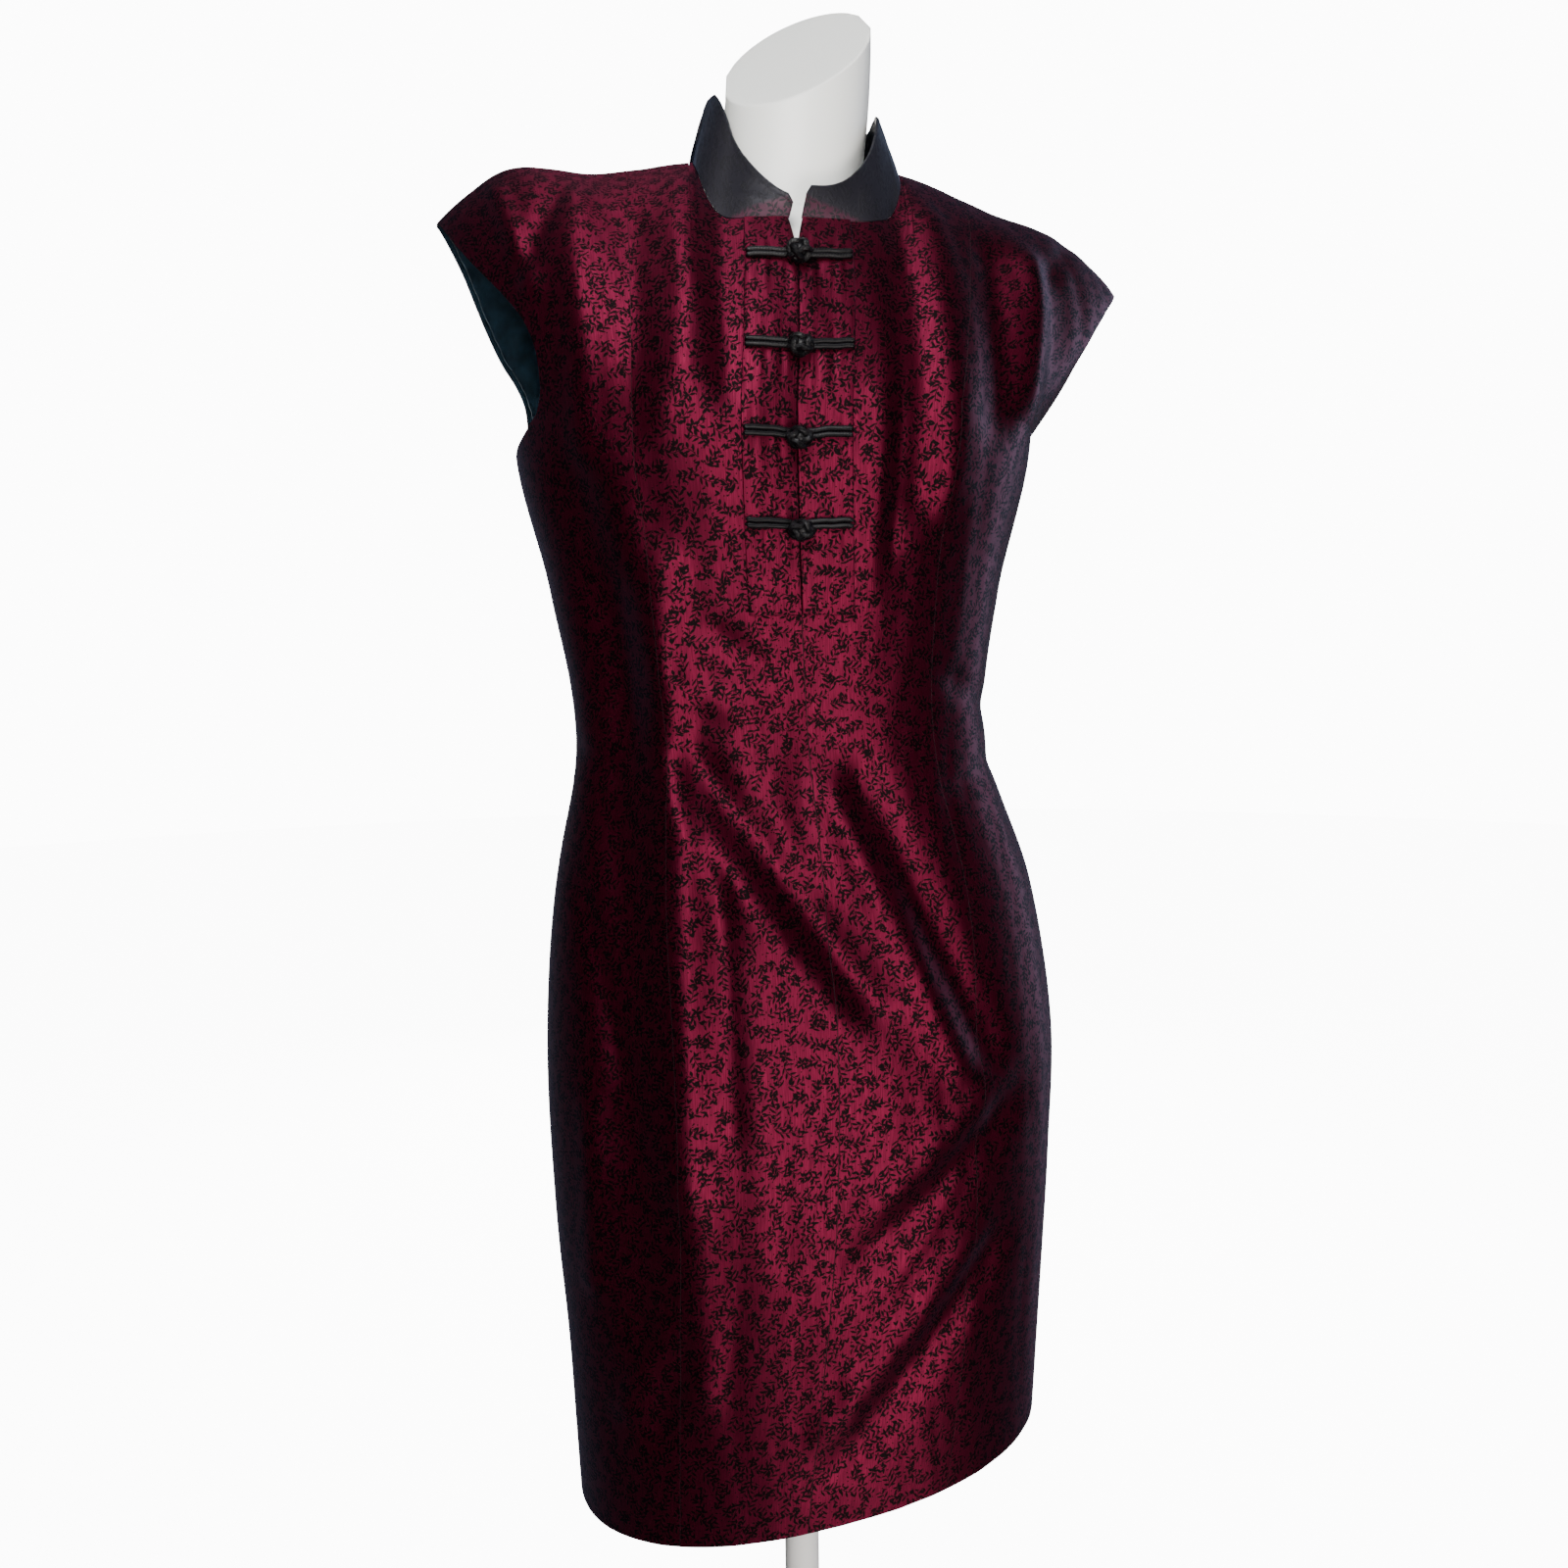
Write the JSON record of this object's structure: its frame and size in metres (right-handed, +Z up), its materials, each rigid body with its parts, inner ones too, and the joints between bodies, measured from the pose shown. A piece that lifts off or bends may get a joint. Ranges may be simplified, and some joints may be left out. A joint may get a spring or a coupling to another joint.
{
  "type": "fitted mini dress on limbless dress form",
  "caption": "Knee-clearing sheath dress with stand collar, cap sleeves and knotted frogs, worn by a limbless dress form on a pole stand.",
  "frame": {"origin": "centre of the base plate's underside, on the floor and on the pole's axis", "axes": "+Z up, +X to the wearer's left, -Y to the front"},
  "size_m": [0.4736, 0.32, 1.4527],
  "materials": {
    "satin_jacquard": "shot burgundy and black satin with a small woven sprig pattern",
    "collar_satin": "dark slate purple satin",
    "lining_twill": "dark teal navy lining",
    "black_cord": "glossy black satin cord",
    "white_plastic": "smooth white",
    "white_enamel": "white powder coat on steel"
  },
  "bodies": {
    "root": {"front_center_left": "satin_jacquard", "front_center_right": "satin_jacquard", "front_side_left": "satin_jacquard", "front_side_right": "satin_jacquard", "back_left": "satin_jacquard", "back_right": "satin_jacquard", "placket_left": "satin_jacquard", "placket_right": "satin_jacquard", "collar": "collar_satin", "lining_front_left": "lining_twill", "lining_front_right": "lining_twill", "lining_back_left": "lining_twill", "lining_back_right": "lining_twill", "frog_1_cord_left": "black_cord", "frog_1_cord_right": "black_cord", "frog_1_knot": "black_cord", "frog_2_cord_left": "black_cord", "frog_2_cord_right": "black_cord", "frog_2_knot": "black_cord", "frog_3_cord_left": "black_cord", "frog_3_cord_right": "black_cord", "frog_3_knot": "black_cord", "frog_4_cord_left": "black_cord", "frog_4_cord_right": "black_cord", "frog_4_knot": "black_cord", "form_torso": "white_plastic", "stand_pole": "white_enamel", "stand_base": "white_enamel"}
  },
  "joints": []
}
